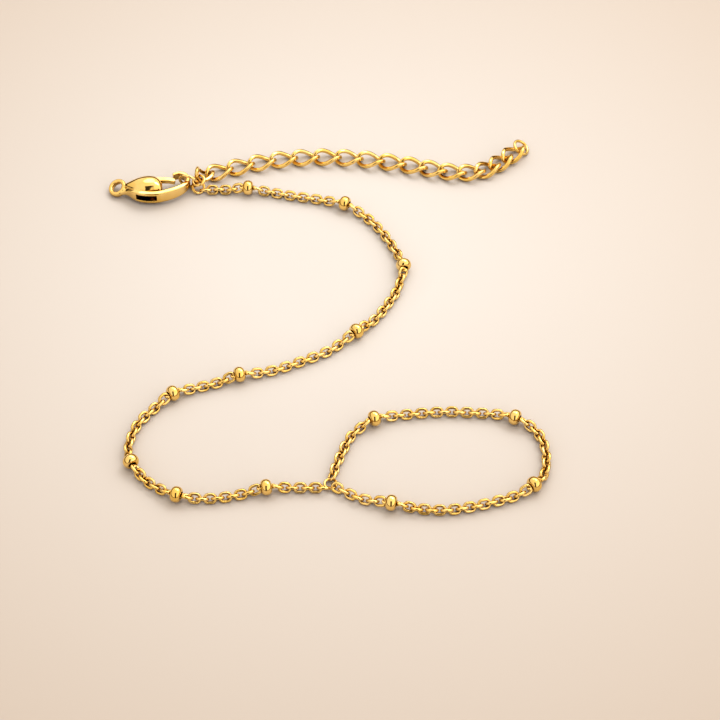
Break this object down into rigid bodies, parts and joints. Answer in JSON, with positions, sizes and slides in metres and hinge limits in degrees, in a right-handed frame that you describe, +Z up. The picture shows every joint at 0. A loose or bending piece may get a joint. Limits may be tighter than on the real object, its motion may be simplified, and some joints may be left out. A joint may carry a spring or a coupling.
{
  "type": "finger loop bracelet",
  "caption": "Fine gold-plated chain bracelet with rondelle beads and a finger loop at one end, a lobster clasp and a curb extender chain at the other, lying open.",
  "frame": {"origin": "middle of the outline in plan, on the surface that the bracelet lies on", "axes": "+Z up from the surface; +X from the clasp's eye towards the extender's free end; +Y from the finger loop towards the clasp"},
  "size_m": [0.0642, 0.0711, 0.0032],
  "materials": {
    "clasp_gold": "polished yellow gold plate on cast brass",
    "wire_gold": "polished yellow gold plate on drawn wire",
    "chain_gold": "polished yellow gold plate on fine cable chain",
    "bead_gold": "bright yellow gold plate on turned beads"
  },
  "bodies": {
    "bracelet": {"clasp_body": "clasp_gold", "hook_ring": "wire_gold", "chain_ring": "wire_gold", "extender_ring": "wire_gold", "loop_ring": "wire_gold", "chain_1": "chain_gold", "chain_2": "chain_gold", "chain_3": "chain_gold", "chain_4": "chain_gold", "chain_5": "chain_gold", "chain_6": "chain_gold", "chain_7": "chain_gold", "chain_8": "chain_gold", "chain_9": "chain_gold", "chain_10": "chain_gold", "bead_1": "bead_gold", "bead_2": "bead_gold", "bead_3": "bead_gold", "bead_4": "bead_gold", "bead_5": "bead_gold", "bead_6": "bead_gold", "bead_7": "bead_gold", "bead_8": "bead_gold", "bead_9": "bead_gold", "loop_chain_1": "chain_gold", "loop_chain_2": "chain_gold", "loop_chain_3": "chain_gold", "loop_chain_4": "chain_gold", "loop_chain_5": "chain_gold", "loop_bead_1": "bead_gold", "loop_bead_2": "bead_gold", "loop_bead_3": "bead_gold", "loop_bead_4": "bead_gold", "extender_link_1": "wire_gold", "extender_link_2": "wire_gold", "extender_link_3": "wire_gold", "extender_link_4": "wire_gold", "extender_link_5": "wire_gold", "extender_link_6": "wire_gold", "extender_link_7": "wire_gold", "extender_link_8": "wire_gold", "extender_link_9": "wire_gold", "extender_link_10": "wire_gold", "extender_link_11": "wire_gold", "extender_link_12": "wire_gold", "extender_link_13": "wire_gold", "extender_link_14": "wire_gold", "extender_link_15": "wire_gold", "extender_link_16": "wire_gold", "end_ring": "wire_gold", "extender_joint_link": "wire_gold"},
    "lever": {"clasp_lever": "clasp_gold"}
  },
  "joints": [
    {"name": "lever_pivot", "type": "hinge", "parent": "bracelet", "child": "lever", "pos_m": [-0.0255, 0.0259, 0.0015], "axis": [0, 0, -1], "range_deg": [0, 25], "stiffness_Nm_per_rad": 0.0005, "springref_deg": -5.73}
  ]
}
